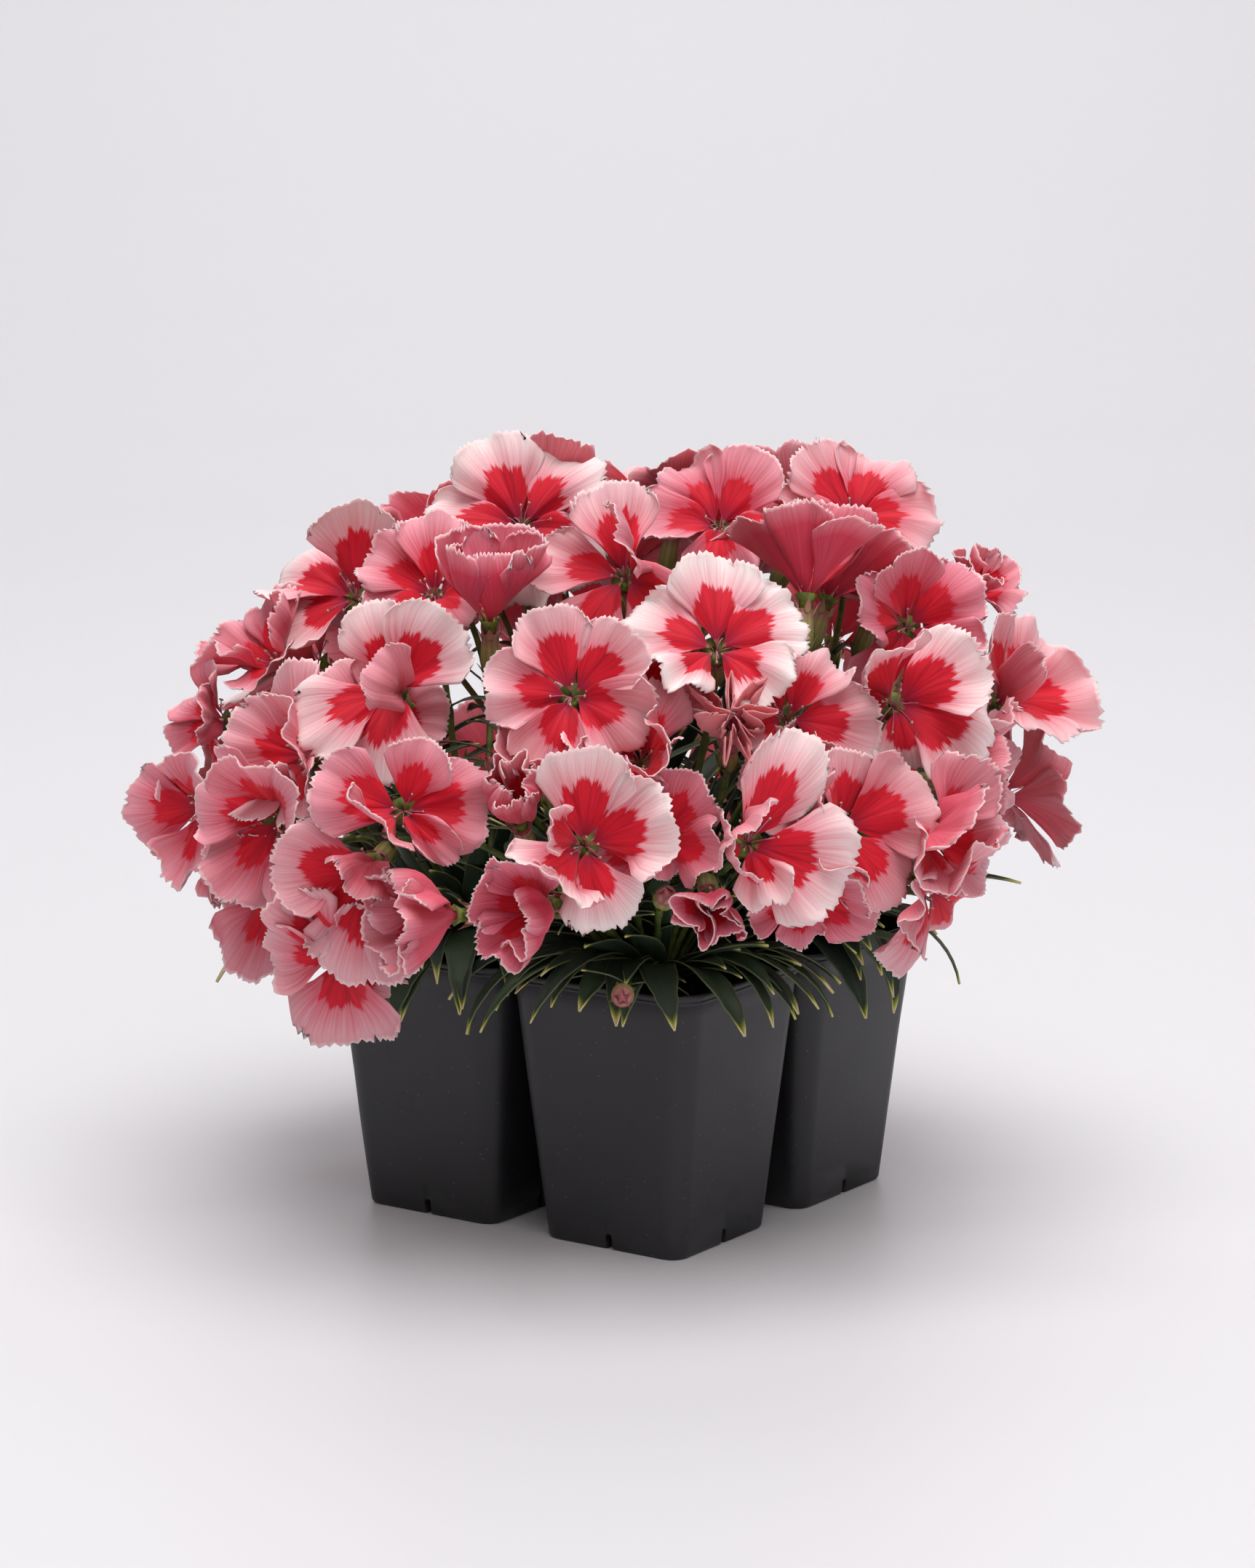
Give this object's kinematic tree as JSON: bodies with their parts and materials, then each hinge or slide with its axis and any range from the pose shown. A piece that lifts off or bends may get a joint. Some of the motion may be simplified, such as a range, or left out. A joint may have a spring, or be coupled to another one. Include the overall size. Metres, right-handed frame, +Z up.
{
  "type": "dianthus plant in a bedding pack",
  "caption": "Low mound of fringed dianthus blooms over grassy leaves, rooted in a joined square-cell bedding pack that stands on its flat feet.",
  "frame": {"origin": "on the surface that the pack stands on, under the middle of the whole plant's box", "axes": "+Z up; the pack's cell rows run along X and Y; the fullest side of the plant looks towards +X and -Y"},
  "size_m": [0.2594, 0.2669, 0.2137],
  "materials": {
    "pot_plastic": "satin charcoal, faint water marks",
    "peat": "rough, crumbly, dark",
    "leaf": "matte, faint blue bloom",
    "stem": "matte, yellow green, pink tint",
    "petal": "soft matte, pink with a red blotch",
    "stamen": "matte, pale pink"
  },
  "bodies": {
    "root": {"cell_pack": "pot_plastic", "soil_front": "peat", "soil_left": "peat", "soil_right": "peat", "soil_back": "peat", "greens_front": "leaf", "greens_left": "leaf", "greens_right": "leaf", "greens_back": "leaf", "bloom_01": "petal", "bloom_02": "petal", "bloom_03": "petal", "bloom_04": "petal", "bloom_05": "petal", "bloom_06": "petal", "bloom_07": "petal", "bloom_08": "petal", "bloom_09": "petal", "bloom_10": "petal", "bloom_11": "petal", "bloom_12": "petal", "bloom_13": "petal", "bloom_14": "petal", "bloom_15": "petal", "bloom_16": "petal", "bloom_17": "petal", "bloom_18": "petal", "bloom_19": "petal", "bloom_20": "petal", "bloom_21": "petal", "bloom_22": "petal", "bloom_23": "petal", "bloom_24": "petal", "bloom_25": "petal", "bloom_26": "petal", "bloom_27": "petal", "bloom_28": "petal", "bloom_29": "petal", "bloom_30": "petal", "bloom_31": "petal", "bloom_32": "petal", "bloom_33": "petal", "bloom_34": "petal", "bloom_35": "petal", "bloom_36": "petal", "bloom_37": "petal", "bloom_38": "petal", "bloom_39": "petal", "bloom_40": "petal", "bloom_41": "petal", "bloom_42": "petal", "bloom_43": "petal", "bloom_44": "petal", "bloom_45": "petal", "bloom_46": "petal", "bloom_47": "petal", "bloom_48": "petal", "bloom_49": "petal", "bloom_50": "petal"}
  },
  "joints": []
}
